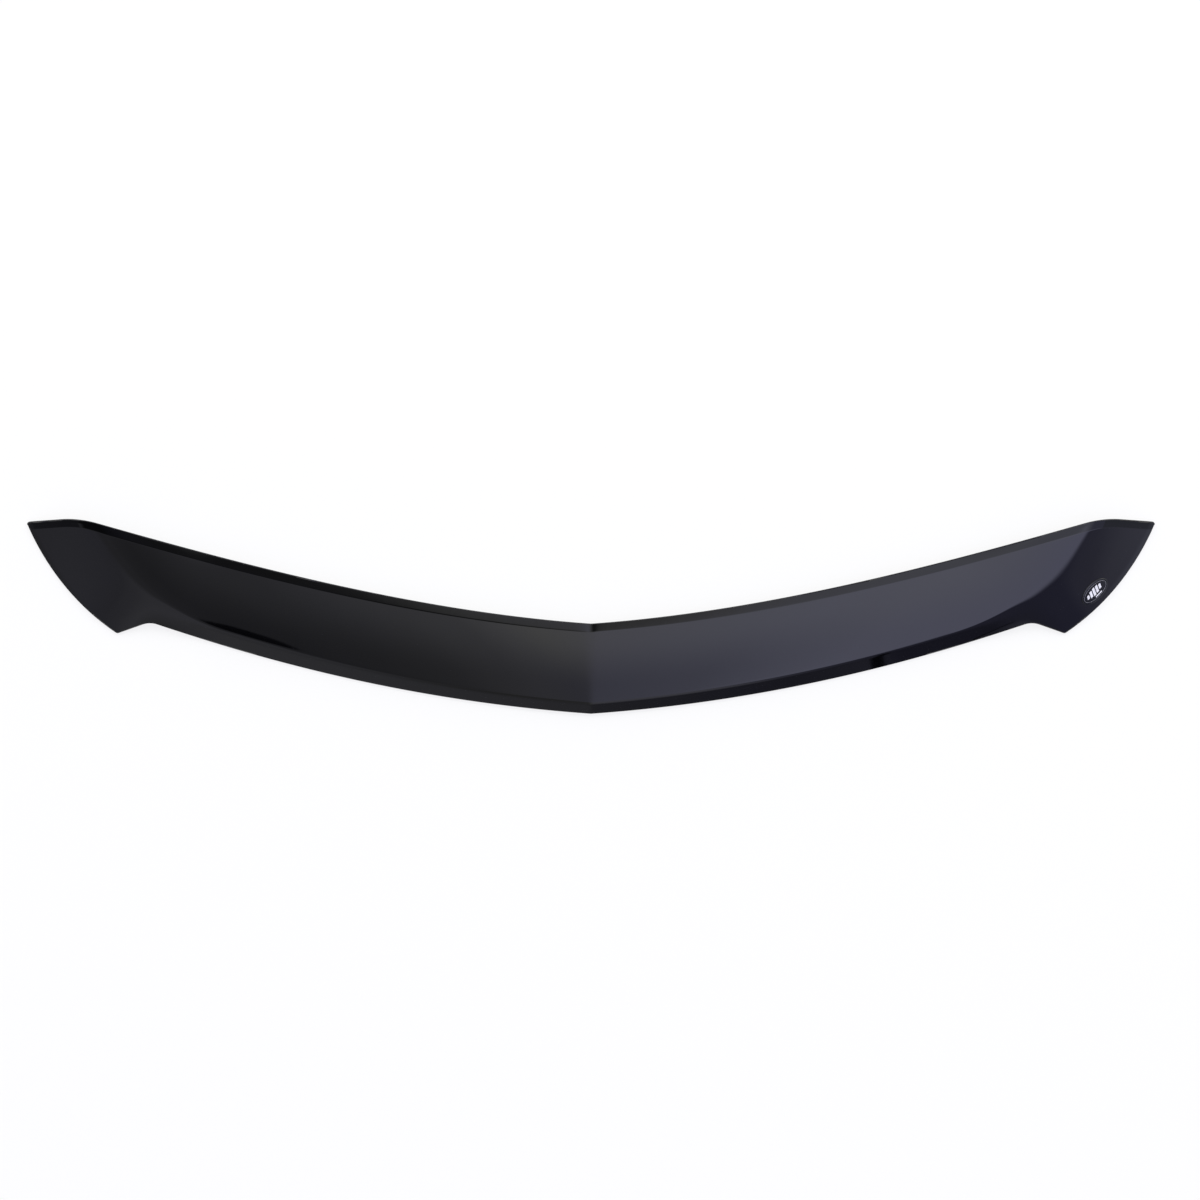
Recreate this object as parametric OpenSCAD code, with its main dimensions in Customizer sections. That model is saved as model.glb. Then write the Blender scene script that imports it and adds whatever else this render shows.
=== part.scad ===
// Flush hood protector: one thermoformed sheet of smoked acrylic that wraps the
// front edge of a car hood, with an oval badge on one lobe and strips of foam
// tape behind its edges. It lies face up as it rests on a flat surface.
// X runs across the car, the nose points to -Y and Z is up. The origin is on the
// surface it rests on, in the middle of the width and of the sweep.

/* [Outline] */
// Width across the two outer tips, before they are rounded
overall_w = 1464; // [1300:2:1600]
// Depth of the shield on its centre line, from nose to rear edge
centre_d = 117.5; // [100:0.5:135]
// How far the outer tips lie behind the nose
tip_y = 249; // [225:1:270]
// Sweep angle of both long edges where they leave the centre line
nose_a = 4; // [1:0.5:7]
// Sweep angle of the front edge where it reaches the notch
front_end_a = 19.3; // [16:0.1:23]
// Sweep angle of the rear edge where it reaches the shoulder
rear_end_a = 16; // [12:0.1:19]
// Distance across the car from the outer tip in to the lower corner of the lobe
lobe_w = 118.5; // [98:0.5:135]
// How far the lower corner of the lobe lies behind the nose
lobe_y = 104; // [95:1:115]
// Distance across the car from the lower corner of the lobe in to the notch
notch_w = 43.5; // [40:0.5:60]
// How far the notch lies behind the nose, before it is rounded
notch_y = 119; // [116:1:128]
// Radius that rounds the notch
notch_r = 30; // [15:1:40]
// Distance across the car from the outer tip in to the shoulder
shoulder_w = 72.5; // [64:0.5:85]
// How much further back than the outer tip the shoulder lies, before it is rounded
shoulder_d = 4.5; // [2:0.5:8]
// Radius that rounds the shoulder
shoulder_r = 150; // [80:5:180]
// Radius of the outer edge of the lobe
outer_r = 320; // [260:5:500]
// Radius of the lower corner of the lobe
corner_r = 5; // [3:0.5:8]
// Radius of the outer tip
tip_r = 3.5; // [2:0.5:5]

/* [Form] */
// Depth of the folded front lip on the centre line, seen from above
lip_w = 13; // [12:0.5:16]
// How much deeper the lip has grown where the crease leaves it
lip_grow = 4.5; // [2:0.5:6]
// Angle by which the lip folds down from the face
lip_a = 36; // [30:1:44]
// Where the crease starts to leave the lip, measured in from the outer tip
turn_w = 262; // [232:5:290]
// How much further back than the lip's own line the crease ends, at the shoulder
crease_rise = 70; // [60:1:76]
// How far in from the outer tip the crease would reach the rear edge
crease_end_w = 89; // [82:1:97]
// Angle by which the lobe falls from the face near its lower corner
lobe_a = 6; // [4:0.5:9]
// Angle by which the lobe falls from the face near its outer tip
tip_a = 18; // [14:0.5:22]
// Radius to which the lobe is crowned
lobe_r = 900; // [600:10:1500]
// Half the width of the rounded crease along the lip
crease_blend = 2.5; // [2:0.1:4]
// Half the width of the rounded crease on the lobe
lobe_blend = 13; // [8:0.5:16]
// Angle by which each wing falls away from the centre ridge
ridge_a = 1.3; // [0.5:0.1:2]
// How far the crown of the width adds to that at the outer tips
crown_h = 8; // [4:0.5:12]
// Angle at which the face rises just behind the crease
face_a = 9; // [7:0.1:10]
// Radius to which the face is crowned from crease to rear edge
face_r = 850; // [600:10:1500]
// Width of the bevel along the rear edge
bevel_w = 11; // [9:0.5:14]
// Angle by which that bevel turns down
bevel_a = 12; // [6:0.5:16]
// Width of the bevel along the outer edge of the lobe
side_bevel_w = 6.5; // [5:0.5:8]
// Angle by which that bevel turns down
side_bevel_a = 7; // [3:0.5:10]
// Thickness of the sheet
sheet_t = 3; // [2.5:0.1:4]

/* [Tape] */
// Thickness of the foam tape
tape_t = 1.1; // [0.8:0.1:1.6]
// Distance from the long edges of the sheet to the tape
tape_inset = 2.4; // [2:0.1:3.5]
// Depth of the tape on the lip, seen from above
lip_tape_w = 6; // [5:0.5:7]
// Width of the tape on the lobes
lobe_tape_w = 10; // [8:0.5:12]
// Clear gap between the tape and the sheet that it hangs from
tape_gap = 0.1; // [0.05:0.05:0.3]

/* [Badge] */
// Length of the oval badge
badge_l = 43; // [36:0.5:48]
// Height of the oval badge
badge_h = 22; // [16:0.5:24]
// Thickness of the badge
badge_t = 1.3; // [0.8:0.1:2]
// Width of the rounded rim of the badge
badge_rim = 2; // [1.5:0.1:3]
// Distance along the outer edge from the lower corner of the lobe to the badge
badge_along = 66; // [50:1:90]
// Distance from the outer edge to the badge
badge_in = 7; // [3:0.5:11]
// Clear gap between the badge and the sheet
badge_gap = 0.2; // [0.1:0.05:0.3]

/* [Hidden] */

// How finely the outline is divided: along a wing, round the notch or shoulder,
// along the lobe and round half a corner
wing_n = 36;
arc_n = 8;
lobe_n = 2;
corner_n = 2;
// How finely the sheet is divided from front to rear
lip_tape_n = 2;
lip_n = 3;
crease_n = 4;
face_n = 7;
badge_n = 32;
badge_rings = [0, 0.35, 0.7, 1];
// How steeply the crease climbs across the lobe
crease_power = 2.65;
// Along the crease, where the lip has become the lobe and where the tip begins
lobe_start_w = 160;
tip_start_w = 140;
tip_end_w = 50;
// Clear row of facets that is kept between the crease and the rear bevel
face_least = 8;

half_w = overall_w / 2;
lobe_x = half_w - lobe_w;
notch_x = lobe_x - notch_w;
shoulder_x = half_w - shoulder_w;
shoulder_y = tip_y + shoulder_d;
turn_x = half_w - turn_w;
crease_end_x = half_w - crease_end_w;

function mix(a, b, t) = a + (b - a) * t;
function ease(t) = let (c = max(0, min(1, t))) c * c * (3 - 2 * c);
function unit(v) = v / norm(v);
function mirrored(p) = [-p.x, p.y, p.z];

// A curve that leaves [0, y0] and reaches [len, y1] at the two given slopes
function swept(x, len, y0, y1, s0, s1) =
  let (t = x / len)
  y0 * (2 * t * t * t - 3 * t * t + 1) + s0 * len * (t * t * t - 2 * t * t + t)
  + y1 * (3 * t * t - 2 * t * t * t) + s1 * len * (t * t * t - t * t);
function front_y(x) = swept(x, notch_x, 0, notch_y, tan(nose_a), tan(front_end_a));
function rear_y(x) = swept(x, shoulder_x, centre_d, shoulder_y, tan(nose_a), tan(rear_end_a));

// Points round a corner at c, from the heading a0 to the heading a1
function heading(a) = [cos(a), sin(a)];
function on_arc(start, r, a0, a) = start + r * ([sin(a), -cos(a)] - [sin(a0), -cos(a0)]);
function round_corner(c, a0, a1, r, n, last) =
  let (turn = a1 - a0, rs = r * sign(turn), start = c - rs * tan(turn / 2) * heading(a0))
  [for (k = [0:last]) on_arc(start, rs, a0, a0 + turn * k / n)];

// Headings of the edges of the lobe
lobe_corner = [lobe_x, lobe_y];
tip_corner = [half_w, tip_y];
bottom_a = atan2(lobe_y - notch_y, notch_w);
top_a = atan2(-shoulder_d, shoulder_w);
chord = tip_corner - lobe_corner;
chord_a = atan2(chord.y, chord.x);
outer_half_a = asin(norm(chord) / 2 / outer_r);
outer_a0 = chord_a - outer_half_a;
outer_a1 = chord_a + outer_half_a;

// Front edge, by way of the notch to the middle of the lower corner, and rear
// edge, by way of the shoulder to the middle of the outer tip
notch_pts = round_corner([notch_x, notch_y], front_end_a, bottom_a, notch_r, arc_n, arc_n);
shoulder_pts = round_corner([shoulder_x, shoulder_y], rear_end_a, top_a, shoulder_r, arc_n, arc_n);
corner_pts = round_corner(lobe_corner, bottom_a, outer_a0, corner_r, 2 * corner_n, corner_n);
tip_pts = round_corner(tip_corner, top_a, outer_a1 - 180, tip_r, 2 * corner_n, corner_n);
function lobe_edge(from, to, a) =
  let (inner = to - (side_bevel_w + lobe_tape_w) * heading(a))
  concat([for (k = [1:lobe_n]) mix(from, inner, k / lobe_n)], [to - side_bevel_w * heading(a)]);
front = concat(
  [for (k = [0:wing_n - 1]) let (x = notch_pts[0].x * k / wing_n) [x, front_y(x)]],
  notch_pts, lobe_edge(notch_pts[arc_n], corner_pts[0], bottom_a), corner_pts
);
rear = concat(
  [for (k = [0:wing_n - 1]) let (x = shoulder_pts[0].x * k / wing_n) [x, rear_y(x)]],
  shoulder_pts, lobe_edge(shoulder_pts[arc_n], tip_pts[0], top_a), tip_pts
);
cols = len(front) - 1;

// Outer edge of the lobe, by its length from the middle of the lower corner
function arc_len(r, turn) = r * turn * PI / 180;
function arc_turn(r, s) = s / r * 180 / PI;
corner_turn = (outer_a0 - bottom_a) / 2;
tip_turn = (top_a - outer_a1 + 180) / 2;
outer_start = lobe_corner + corner_r * tan(corner_turn) * heading(outer_a0);
outer_end = tip_corner - tip_r * tan(tip_turn) * heading(outer_a1);
outer_mid_turn = 2 * asin(norm(outer_end - outer_start) / 2 / outer_r);
corner_len = arc_len(corner_r, corner_turn);
outer_len = arc_len(outer_r, outer_mid_turn);
tip_len = arc_len(tip_r, tip_turn);
edge_len = corner_len + outer_len + tip_len;
outer_head = chord_a - outer_mid_turn / 2;
function outer_at(s) =
  s < corner_len ?
    on_arc(front[cols], corner_r, outer_a0 - corner_turn, outer_a0 - corner_turn + arc_turn(corner_r, s))
  : s < corner_len + outer_len ?
    on_arc(outer_start, outer_r, outer_head, outer_head + arc_turn(outer_r, s - corner_len))
  : on_arc(outer_end, tip_r, outer_a1, outer_a1 + arc_turn(tip_r, s - corner_len - outer_len));

// A point of the plan: column i, at the share v of the way from front to rear.
// Towards the outer edge the columns bow with it.
bow = 6;
function plan(i, v) =
  let (share = pow(front[i].x / front[cols].x, bow))
  mix(front[i], rear[i], v)
  + share * (outer_at(v * edge_len) - mix(front[cols], rear[cols], v));

// The crease, as a curve of the plan, with its slope and its bend
crease_reach = crease_end_x - turn_x;
function turned(x) = max(0, x - turn_x) / crease_reach;
function crease_y(x) =
  front_y(x) + lip_w + lip_grow * x / turn_x + crease_rise * pow(turned(x), crease_power);
step = 1;
function crease_slope(x) = (crease_y(x + step) - crease_y(x - step)) / (2 * step);
function crease_bend(x) = (crease_y(x + step) - 2 * crease_y(x) + crease_y(x - step)) / (step * step);

// Foot of the perpendicular from p to the crease, improved n times from x
function foot(p, x, n = 6) =
  n == 0 ? x
  : let (over = crease_y(x) - p.y, slope = crease_slope(x))
    foot(p, x - (x - p.x + over * slope) / (1 + slope * slope + over * crease_bend(x)), n - 1);

// Fall of the sheet beyond the crease, for each mm, by the place along the crease
function fold(x) =
  tan(lobe_a)
  + (tan(lip_a) - tan(lobe_a)) * (1 - ease((x - turn_x) / (turn_w - lobe_start_w)))
  + (tan(tip_a) - tan(lobe_a)) * ease((x - half_w + tip_start_w) / (tip_start_w - tip_end_w));
function blend(x) = mix(crease_blend, lobe_blend, ease((x - turn_x) / crease_reach));
function rounded(d, w) = d < -w ? 0 : d > w ? d : (d + w) * (d + w) / (4 * w);

// Height of the outer face over the plan, without its bevels
function height(p) =
  let (
    x = foot(p, p.x),
    over = norm(p - [x, crease_y(x)]) * sign(crease_y(p.x) - p.y),
    behind = max(0, -over),
    beyond = max(0, over)
  )
  tan(face_a) * p.y - tan(ridge_a) * p.x - crown_h * pow(p.x / half_w, 2)
  - behind * behind / (2 * face_r) - fold(x) * rounded(over, blend(x))
  - beyond * beyond / (2 * lobe_r);

// Length of each column, how squarely it meets the rear edge, and where it
// crosses the crease
spans = [for (i = [0:cols]) norm(rear[i] - front[i])];
function square_to(edge, i) =
  let (
    along = unit(edge[min(cols, i + 1)] - edge[max(0, i - 1)]),
    across = unit(plan(i, 1) - plan(i, 0.9))
  )
  i == 0 ? 1 : abs(along.x * across.y - along.y * across.x);
rear_square = [for (i = [0:cols]) square_to(rear, i)];
function crossing(i, lo, hi, n = 16) =
  let (mid = (lo + hi) / 2, p = plan(i, mid))
  n == 0 ? mid : crease_y(p.x) > p.y ? crossing(i, mid, hi, n - 1) : crossing(i, lo, mid, n - 1);

// Rows of each column, as shares of it: the edge, the tape on the lip, the lip,
// the rounded crease, the face, the rear bevel and the edge again
function between(a, b, n) = [for (k = [1:n]) mix(a, b, k / n)];
function rows_at(i) =
  let (
    edge = tape_inset / spans[i],
    lip = edge + lip_tape_w / spans[i],
    bevel = 1 - bevel_w / spans[i] / rear_square[i],
    x = plan(i, 0.5).x,
    half = blend(x) / spans[i],
    least = lip + half + 1 / spans[i],
    most = bevel - half - face_least / spans[i],
    crease = max(least, min(most, crossing(i, 0, 1)))
  )
  concat(
    [0, edge], between(edge, lip, lip_tape_n), between(lip, crease - half, lip_n),
    between(crease - half, crease + half, crease_n), between(crease + half, bevel, face_n),
    [1 - edge, 1]
  );
last_row = 1 + lip_tape_n + lip_n + crease_n + face_n + 2;
bevel_row = last_row - 2;

// Right half of the outer face, column by column
function face_point(i, v) =
  let (
    p = plan(i, v),
    to_rear = (1 - v) * spans[i] * rear_square[i],
    to_side = norm(outer_at(v * edge_len) - p)
  )
  [
    p.x, p.y,
    height(p) - tan(bevel_a) * max(0, bevel_w - to_rear)
    - tan(side_bevel_a) * ease(2 * v) * max(0, side_bevel_w - to_side)
  ];
raised = [for (i = [0:cols]) let (rows = rows_at(i)) [for (v = rows) face_point(i, v)]];

// Direction square to a grid of points, halfway between the facets that meet
function along_rows(g, i, j) =
  unit(g[i][min(last_row, j + 1)] - g[i][j] + (j == last_row ? g[i][j] - g[i][j - 1] : [0, 0, 0]))
  + unit(g[i][j] - g[i][max(0, j - 1)] + (j == 0 ? g[i][1] - g[i][0] : [0, 0, 0]));
function along_cols(g, i, j) =
  i == 0 ? [1, 0, 0]
  : unit(g[min(cols, i + 1)][j] - g[i][j] + (i == cols ? g[i][j] - g[i - 1][j] : [0, 0, 0]))
    + unit(g[i][j] - g[i - 1][j]);
normals = [
  for (i = [0:cols]) [
    for (j = [0:last_row]) unit(cross(along_cols(raised, i, j), along_rows(raised, i, j)))
  ]
];

// The grid sunk below the outer face by a depth, and set in its place: the lowest
// point of the inner face rests on the ground
function sunk(i, j, depth) = raised[i][j] - depth * normals[i][j];
surfaces = [for (i = [0:cols]) for (j = [0:last_row]) each [raised[i][j], sunk(i, j, sheet_t)]];
lowest = min([for (p = surfaces) p.z]);
foremost = min([for (p = surfaces) p.y]);
rearmost = max([for (p = surfaces) p.y]);
seat = [0, -(foremost + rearmost) / 2, -lowest];
function grid(depth, i0, i1, j0, j1) =
  [for (i = [i0:i1]) [for (j = [j0:j1]) sunk(i, j, depth) + seat]];
function flipped(g) = [for (i = [len(g) - 1:-1:0]) [for (p = g[i]) mirrored(p)]];
function both(g) = concat(flipped([for (i = [1:len(g) - 1]) g[i]]), g);

// A closed skin between an upper and a lower grid of points
module skin(upper, lower) {
  n = len(upper);
  m = len(upper[0]);
  points = concat([for (c = upper) for (p = c) p], [for (c = lower) for (p = c) p]);
  under = n * m;
  quads = concat(
    [for (i = [0:n - 2]) for (j = [0:m - 2]) let (a = i * m + j) [a, a + 1, a + m + 1, a + m]],
    [for (i = [0:n - 2]) for (j = [0:m - 2]) let (a = under + i * m + j) [a, a + m, a + m + 1, a + 1]],
    [for (i = [0:n - 2]) let (a = i * m) [a, a + m, under + a + m, under + a]],
    [for (i = [0:n - 2]) let (a = i * m + m - 1) [a + m, a, under + a, under + a + m]],
    [for (j = [0:m - 2]) [j + 1, j, under + j, under + j + 1]],
    [for (j = [0:m - 2]) let (a = (n - 1) * m + j) [a, a + 1, under + a + 1, under + a]]
  );
  polyhedron(points, [for (q = quads) each [[q[0], q[1], q[2]], [q[0], q[2], q[3]]]]);
}

module shield() {
  color([0.07, 0.07, 0.08])
    skin(both(grid(0, 0, cols, 0, last_row)), both(grid(sheet_t, 0, cols, 0, last_row)));
}

// A strip of tape behind a part of the right wing, or of the left one
module tape(i0, i1, j0, j1, left) {
  upper = grid(sheet_t + tape_gap, i0, i1, j0, j1);
  lower = grid(sheet_t + tape_gap + tape_t, i0, i1, j0, j1);
  color([0.2, 0.2, 0.21])
    if (left) skin(flipped(upper), flipped(lower));
    else skin(upper, lower);
}

// The badge lies along the outer edge of the right lobe and follows its form
badge_edge = outer_at(badge_along);
badge_turn = outer_head + arc_turn(outer_r, badge_along - corner_len);
badge_at = badge_edge + (badge_in + badge_h / 2) * heading(badge_turn + 90);
function lobe_point(p) = [p.x, p.y, height(p)] + seat;
badge_up = unit(cross(
  lobe_point(badge_at + [step, 0]) - lobe_point(badge_at - [step, 0]),
  lobe_point(badge_at + [0, step]) - lobe_point(badge_at - [0, step])
));
function oval(share, a, inset) =
  badge_at
  + share * (badge_l / 2 - inset) * cos(a) * heading(badge_turn)
  + share * (badge_h / 2 - inset) * sin(a) * heading(badge_turn + 90);
function badge_ring(share, inset, up) =
  [for (k = [0:badge_n - 1]) lobe_point(oval(share, k * 360 / badge_n, inset)) + up * badge_up];
badge_top = badge_gap + badge_t;
badge_side = badge_gap + badge_t / 2;
module badge() {
  last = len(badge_rings) - 1;
  rings = concat(
    [for (r = badge_rings) badge_ring(r, badge_rim, badge_top)],
    [badge_ring(1, 0, badge_side), badge_ring(1, 0, badge_gap)],
    [for (k = [last:-1:0]) badge_ring(badge_rings[k], badge_rim, badge_gap)]
  );
  // The first and the last ring are single points
  middle = [for (k = [1:len(rings) - 2]) rings[k]];
  m = len(middle);
  top = m * badge_n;
  points = concat([for (r = middle) for (p = r) p], [rings[0][0]], [rings[len(rings) - 1][0]]);
  function at(r, k) = r * badge_n + k % badge_n;
  walls = [
    for (r = [0:m - 2]) for (k = [0:badge_n - 1]) each [
      [at(r, k), at(r, k + 1), at(r + 1, k + 1)],
      [at(r, k), at(r + 1, k + 1), at(r + 1, k)]
    ]
  ];
  caps = [
    for (k = [0:badge_n - 1]) each [
      [top, at(0, k + 1), at(0, k)],
      [top + 1, at(m - 1, k), at(m - 1, k + 1)]
    ]
  ];
  color([0.03, 0.03, 0.03]) polyhedron(points, concat(walls, caps));
}

// Columns and rows between which the strips of tape run
tape_start = 1;
lip_tape_end = wing_n - 1;
rear_tape_end = cols - corner_n - 2;
lobe_tape_col = cols - corner_n - 2;
lip_tape_row = 1;
lobe_tape_row = 1 + lip_tape_n;
module tape_rear_left() tape(tape_start, rear_tape_end, bevel_row, last_row - 1, true);
module tape_rear_right() tape(tape_start, rear_tape_end, bevel_row, last_row - 1, false);
module tape_lip_left() tape(tape_start, lip_tape_end, lip_tape_row, lobe_tape_row, true);
module tape_lip_right() tape(tape_start, lip_tape_end, lip_tape_row, lobe_tape_row, false);
module tape_lobe_left() tape(lobe_tape_col, lobe_tape_col + 1, lobe_tape_row, bevel_row - 1, true);
module tape_lobe_right() tape(lobe_tape_col, lobe_tape_col + 1, lobe_tape_row, bevel_row - 1, false);

shield();
badge();
tape_rear_left();
tape_rear_right();
tape_lip_left();
tape_lip_right();
tape_lobe_left();
tape_lobe_right();
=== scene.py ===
"""Dresses a flush hood protector: one formed sheet of dark smoked acrylic, a plain
oval badge on its right lobe and the foam tape behind its edges, on a white studio
floor. The sheet lies face up, +X is across the car and -Y is towards the nose."""

import math

import bpy
import numpy as np
from bpy.props import FloatProperty, FloatVectorProperty, PointerProperty
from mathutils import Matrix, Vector


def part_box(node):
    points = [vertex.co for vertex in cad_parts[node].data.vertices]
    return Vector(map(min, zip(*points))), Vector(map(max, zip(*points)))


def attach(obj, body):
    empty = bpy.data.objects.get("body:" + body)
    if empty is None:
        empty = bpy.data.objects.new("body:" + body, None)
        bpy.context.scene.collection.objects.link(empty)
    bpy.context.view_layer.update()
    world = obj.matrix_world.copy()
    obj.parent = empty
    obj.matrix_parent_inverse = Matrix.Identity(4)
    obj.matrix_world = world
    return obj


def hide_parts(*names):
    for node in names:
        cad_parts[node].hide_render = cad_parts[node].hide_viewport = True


bl_info = {
    "name": "Flush hood protector",
    "version": (1, 0, 0),
    "blender": (4, 5, 0),
    "location": "3D View > Sidebar > Hood protector",
    "description": "Builds a smoked acrylic hood protector with its badge, tape and studio",
    "category": "Object",
}

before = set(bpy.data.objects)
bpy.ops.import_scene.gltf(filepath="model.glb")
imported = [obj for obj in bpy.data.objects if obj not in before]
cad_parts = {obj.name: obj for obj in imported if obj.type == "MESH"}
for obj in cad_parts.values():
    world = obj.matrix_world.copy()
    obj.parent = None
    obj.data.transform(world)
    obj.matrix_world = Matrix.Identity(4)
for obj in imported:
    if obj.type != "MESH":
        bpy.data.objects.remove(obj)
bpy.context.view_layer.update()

MM = 0.001


def size(name, mm, text):
    """A length that the panel shows, given here in millimetres."""
    return FloatProperty(
        name=name, description=text, default=mm * MM, unit="LENGTH", precision=4
    )


def angle(name, degrees, text):
    """An angle that the panel shows, given here in degrees."""
    return FloatProperty(
        name=name, description=text, default=math.radians(degrees), subtype="ANGLE"
    )


class HoodOutline(bpy.types.PropertyGroup):
    """Outline of the sheet, seen from above."""

    overall_w: size("Overall width", 1464, "Across the outer tips, before they are rounded")
    centre_d: size("Centre depth", 117.5, "From nose to rear edge on the centre line")
    tip_y: size("Sweep", 249, "How far the outer tips lie behind the nose")
    nose_a: angle("Nose sweep", 4, "Sweep of both long edges at the centre line")
    front_end_a: angle("Front sweep", 19.3, "Sweep of the front edge at the notch")
    rear_end_a: angle("Rear sweep", 16, "Sweep of the rear edge at the shoulder")
    lobe_w: size("Lobe width", 118.5, "From the outer tip in to the lower corner")
    lobe_y: size("Lobe corner", 104, "How far the lower corner lies behind the nose")
    notch_w: size("Notch width", 43.5, "From the lower corner in to the notch")
    notch_y: size("Notch", 119, "How far the notch lies behind the nose")
    notch_r: size("Notch radius", 30, "Radius that rounds the notch")
    shoulder_w: size("Shoulder width", 72.5, "From the outer tip in to the shoulder")
    shoulder_d: size("Shoulder", 4.5, "How far the shoulder lies behind the tip")
    shoulder_r: size("Shoulder radius", 150, "Radius that rounds the shoulder")
    outer_r: size("Outer radius", 320, "Radius of the outer edge of the lobe")
    corner_r: size("Corner radius", 5, "Radius of the lower corner of the lobe")
    tip_r: size("Tip radius", 3.5, "Radius of the outer tip")


class HoodForm(bpy.types.PropertyGroup):
    """How the sheet is folded, bevelled and crowned."""

    lip_w: size("Lip depth", 13, "Depth of the folded lip on the centre line, from above")
    lip_grow: size("Lip growth", 4.5, "How much deeper it has grown where the crease leaves it")
    lip_a: angle("Lip fold", 36, "Angle by which the lip folds down")
    turn_w: size("Crease turn", 262, "Where the crease leaves the lip, in from the tip")
    crease_rise: size("Crease rise", 70, "How far the crease climbs behind the lip's line")
    crease_end_w: size("Crease end", 89, "Where the crease meets the rear, in from the tip")
    lobe_start_w: size("Lobe start", 160, "Where the lip has become the lobe, in from the tip")
    tip_start_w: size("Tip start", 140, "Where the fall towards the tip begins")
    tip_end_w: size("Tip end", 50, "Where the fall towards the tip is complete")
    lobe_a: angle("Lobe fall", 6, "Fall of the lobe near its lower corner")
    tip_a: angle("Tip fall", 18, "Fall of the lobe near its outer tip")
    lobe_r: size("Lobe crown", 900, "Radius to which the lobe is crowned")
    crease_blend: size("Crease rounding", 2.5, "Half the width of the rounded crease")
    lobe_blend: size("Lobe rounding", 13, "The same, at the top of the lobe")
    ridge_a: angle("Ridge", 1.3, "Fall of each wing from the centre ridge")
    ridge_nose: size("Ridge at the nose", 1.5, "Half the width of the rounded ridge there")
    ridge_rear: size("Ridge at the rear", 6, "Half the width of the rounded ridge there")
    crown_h: size("Crown", 8, "How much lower the crown leaves the tips")
    face_a: angle("Face rise", 9, "Rise of the face just behind the crease")
    face_r: size("Face crown", 850, "Radius to which the face is crowned")
    bevel_w: size("Rear bevel", 11, "Width of the bevel along the rear edge")
    bevel_a: angle("Rear bevel angle", 12, "Angle by which it turns down")
    side_bevel_w: size("Side bevel", 6.5, "Width of the bevel along the outer edge")
    side_bevel_a: angle("Side bevel angle", 7, "Angle by which it turns down")
    bevel_blend: size("Bevel rounding", 0.8, "Half the width of the rounded bevel line")
    sheet_t: size("Sheet", 3, "Thickness of the sheet")
    edge_r: size("Edge rounding", 1.1, "Radius of the polished edge")


class HoodTrim(bpy.types.PropertyGroup):
    """Sizes of the badge and the tape."""

    tape_t: size("Tape", 1.1, "Thickness of the foam tape")
    tape_inset: size("Tape inset", 2.4, "From the long edges to the tape")
    lip_tape_w: size("Lip tape", 6, "Depth of the tape on the lip, seen from above")
    lobe_tape_w: size("Lobe tape", 10, "Width of the tape on the lobes")
    tape_gap: size("Tape gap", 0.1, "Clear gap between tape and sheet")
    badge_l: size("Badge length", 43, "Length of the oval badge")
    badge_h: size("Badge height", 22, "Height of the oval badge")
    badge_t: size("Badge thickness", 1.3, "Thickness of the badge")
    badge_rim: size("Badge rim", 2, "Width of its rounded rim")
    badge_along: size("Badge place", 66, "Along the outer edge from the lower corner")
    badge_in: size("Badge inset", 7, "From the outer edge to the badge")
    badge_gap: size("Badge gap", 0.2, "Clear gap between badge and sheet")


def colour(name, value, text):
    """A linear colour that the panel shows."""
    return FloatVectorProperty(
        name=name, description=text, default=value, subtype="COLOR", size=3, min=0, max=1
    )


class HoodFinish(bpy.types.PropertyGroup):
    """Colours and gloss of the pieces."""

    smoke: colour("Smoked acrylic", (0.0012, 0.0012, 0.0015), "Dark tint of the sheet")
    haze: colour("Acrylic haze", (0.0022, 0.0022, 0.0027), "Where the tint looks thinner")
    gloss: FloatProperty(
        name="Acrylic roughness", description="Roughness of the polished sheet",
        default=0.02, min=0, max=1, subtype="FACTOR",
    )
    badge_black: colour("Badge field", (0.0020, 0.0020, 0.0025), "Field of the badge")
    badge_ring: colour("Badge ring", (0.22, 0.22, 0.24), "Printed ring round the badge")
    badge_mark: colour("Badge mark", (0.85, 0.85, 0.88), "Ornament in its middle")
    foam: colour("Foam tape", (0.045, 0.045, 0.048), "Core of the tape")


class HoodStudio(bpy.types.PropertyGroup):
    """The floor, the light and the camera."""

    floor: colour("Floor", (0.90, 0.90, 0.90), "Colour of the floor")
    lamp: FloatProperty(
        name="Lamps", description="Strength of the soft lamps", default=1.0, min=0
    )
    camera_h: FloatProperty(
        name="Camera height", description="Above the floor", default=6.0, unit="LENGTH"
    )


def mix(a, b, t):
    """The value at a share t of the way from a to b."""
    return a + (b - a) * t


def ease(t):
    """A share that starts and ends smoothly."""
    c = np.clip(t, 0, 1)
    return c * c * (3 - 2 * c)


def unit(v):
    """Directions of a length of one."""
    return v / np.maximum(np.linalg.norm(v, axis=-1, keepdims=True), 1e-12)


def heading(a):
    """Direction in the plan, at an angle from +X."""
    return np.stack([np.cos(a), np.sin(a)], axis=-1)


def on_arc(start, r, a0, a):
    """Point of an arc that leaves start at heading a0 and has turned to heading a."""
    turned = np.stack([np.sin(a) - np.sin(a0), np.cos(a0) - np.cos(a)], axis=-1)
    return start + r * turned


def round_corner(corner, a0, a1, r, share, count):
    """Points round a corner, up to a share of the way from heading a0 to a1."""
    turn = a1 - a0
    signed = r * math.copysign(1, turn)
    start = corner - signed * math.tan(turn / 2) * heading(a0)
    return on_arc(start, signed, a0, a0 + turn * np.linspace(0, share, count))


def swept(x, length, y0, y1, s0, s1):
    """A curve that leaves (0, y0) and reaches (length, y1) at the two given slopes."""
    t = x / length
    return (
        y0 * (2 * t**3 - 3 * t**2 + 1)
        + s0 * length * (t**3 - 2 * t**2 + t)
        + y1 * (3 * t**2 - 2 * t**3)
        + s1 * length * (t**3 - t**2)
    )


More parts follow.
